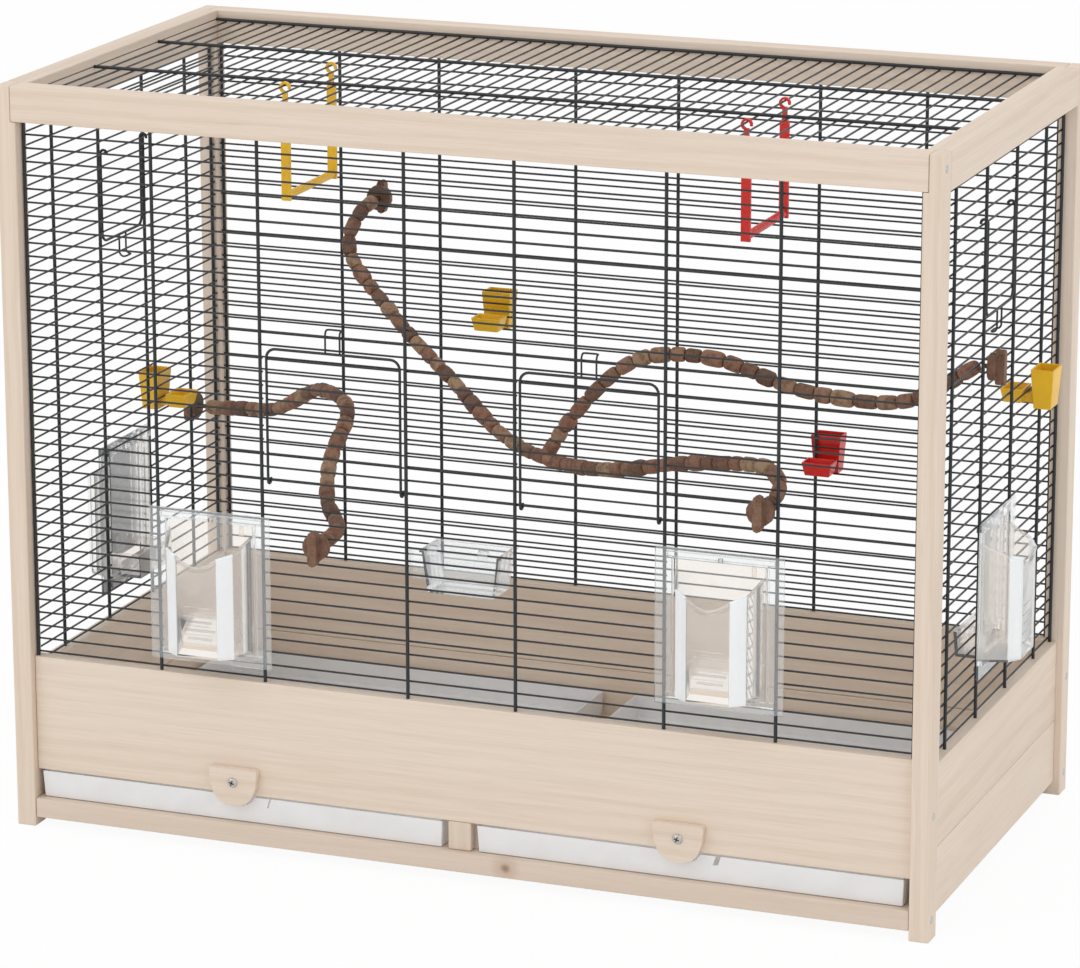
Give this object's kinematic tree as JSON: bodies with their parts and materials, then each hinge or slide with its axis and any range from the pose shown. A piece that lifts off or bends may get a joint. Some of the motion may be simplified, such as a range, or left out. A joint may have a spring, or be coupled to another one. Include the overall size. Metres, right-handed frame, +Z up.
{
  "type": "breeding cage",
  "caption": "Wooden breeding cage for canaries with wire walls and roof, hinged wire doors, revolving feeders, sliding droppings trays, swings and branch perches.",
  "frame": {"origin": "middle of the cage's outline, on the plane that the four posts stand on", "axes": "+Z up, +X to the right along the long side, front with the trays towards -Y"},
  "size_m": [0.848, 0.4408, 0.64],
  "materials": {
    "pine": "planed pale pine, clear matt varnish",
    "wire": "black powder coat",
    "clear_plastic": "clear moulded polystyrene",
    "tray_plastic": "pale bluish white",
    "button_wood": "planed pine",
    "screw_steel": "zinc plated",
    "yellow_plastic": "injection moulded",
    "red_plastic": "injection moulded",
    "branch_wood": "turned beads with a bark-like relief"
  },
  "bodies": {
    "cage": {"feeder_frame_front_left": "clear_plastic", "feeder_frame_front_right": "clear_plastic", "feeder_frame_left": "clear_plastic", "feeder_frame_right": "clear_plastic", "front_board": "pine", "front_bottom_rail": "pine", "hanging_cup": "clear_plastic", "mesh_front": "wire", "mesh_left": "wire", "mesh_rear": "wire", "mesh_right": "wire", "mesh_roof": "wire", "perch_large": "branch_wood", "perch_nut_large_front": "branch_wood", "perch_nut_large_rear": "branch_wood", "perch_nut_large_right": "branch_wood", "perch_nut_small_front": "branch_wood", "perch_nut_small_left": "branch_wood", "perch_small": "branch_wood", "post_front_left": "pine", "post_front_right": "pine", "post_rear_left": "pine", "post_rear_right": "pine", "rear_board_lower": "pine", "rear_board_upper": "pine", "side_board_left_lower": "pine", "side_board_left_upper": "pine", "side_board_right_lower": "pine", "side_board_right_upper": "pine", "slot_divider": "pine", "top_rail_front": "pine", "top_rail_left": "pine", "top_rail_rear": "pine", "top_rail_right": "pine", "tray_runner_centre": "pine", "tray_runner_left": "pine", "tray_runner_right": "pine", "treat_clip_left": "yellow_plastic", "treat_clip_rear_red": "red_plastic", "treat_clip_rear_yellow": "yellow_plastic", "treat_clip_right": "yellow_plastic", "turn_button_screw_left": "screw_steel", "turn_button_screw_right": "screw_steel"},
    "door_front_left": {"door_front_left": "wire"},
    "door_front_right": {"door_front_right": "wire"},
    "door_left": {"door_left": "wire"},
    "door_right": {"door_right": "wire"},
    "feeder_front_left": {"feeder_front_left": "clear_plastic"},
    "feeder_front_right": {"feeder_front_right": "clear_plastic"},
    "feeder_left": {"feeder_left": "clear_plastic"},
    "feeder_right": {"feeder_right": "clear_plastic"},
    "swing_red": {"swing_red": "red_plastic"},
    "swing_yellow": {"swing_yellow": "yellow_plastic"},
    "tray_left": {"tray_left": "tray_plastic"},
    "tray_right": {"tray_right": "tray_plastic"},
    "turn_button_left": {"turn_button_left": "button_wood"},
    "turn_button_right": {"turn_button_right": "button_wood"}
  },
  "joints": [
    {"name": "door_front_left_hinge", "type": "hinge", "parent": "cage", "child": "door_front_left", "pos_m": [-0.11125, -0.1912, 0.3242], "axis": [1, 0, 0], "range_deg": [0, 140]},
    {"name": "door_front_right_hinge", "type": "hinge", "parent": "cage", "child": "door_front_right", "pos_m": [0.11125, -0.1912, 0.3242], "axis": [1, 0, 0], "range_deg": [0, 140]},
    {"name": "door_left_hinge", "type": "hinge", "parent": "cage", "child": "door_left", "pos_m": [-0.3902, 0, 0.5522], "axis": [0, 1, 0], "range_deg": [0, 140]},
    {"name": "door_right_hinge", "type": "hinge", "parent": "cage", "child": "door_right", "pos_m": [0.3902, 0, 0.5522], "axis": [0, -1, 0], "range_deg": [0, 140]},
    {"name": "feeder_front_left_turn", "type": "hinge", "parent": "cage", "child": "feeder_front_left", "pos_m": [-0.2235, -0.194, 0.2246], "axis": [0, 0, 1], "range_deg": [0, 180]},
    {"name": "feeder_front_right_turn", "type": "hinge", "parent": "cage", "child": "feeder_front_right", "pos_m": [0.2235, -0.194, 0.236], "axis": [0, 0, 1], "range_deg": [0, 180]},
    {"name": "feeder_left_turn", "type": "hinge", "parent": "cage", "child": "feeder_left", "pos_m": [-0.393, 0, 0.2246], "axis": [0, 0, 1], "range_deg": [0, 180]},
    {"name": "feeder_right_turn", "type": "hinge", "parent": "cage", "child": "feeder_right", "pos_m": [0.393, 0, 0.236], "axis": [0, 0, 1], "range_deg": [0, 180]},
    {"name": "tray_left_slide", "type": "slide", "parent": "cage", "child": "tray_left", "axis": [0, -1, 0], "range_m": [0, 0.375]},
    {"name": "tray_right_slide", "type": "slide", "parent": "cage", "child": "tray_right", "axis": [0, -1, 0], "range_m": [0, 0.375]},
    {"name": "turn_button_left_pivot", "type": "hinge", "parent": "cage", "child": "turn_button_left", "pos_m": [-0.203, -0.204, 0.0615], "axis": [0, -1, 0], "range_deg": [0, 180]},
    {"name": "turn_button_right_pivot", "type": "hinge", "parent": "cage", "child": "turn_button_right", "pos_m": [0.192, -0.204, 0.0615], "axis": [0, -1, 0], "range_deg": [0, 180]},
    {"name": "swing_yellow_pivot", "type": "hinge", "parent": "cage", "child": "swing_yellow", "pos_m": [-0.20475, -0.024, 0.6292], "axis": [0, 1, 0], "range_deg": [-25, 25]},
    {"name": "swing_red_pivot", "type": "hinge", "parent": "cage", "child": "swing_red", "pos_m": [0.20475, -0.037, 0.6292], "axis": [0, 1, 0], "range_deg": [-25, 25]}
  ]
}
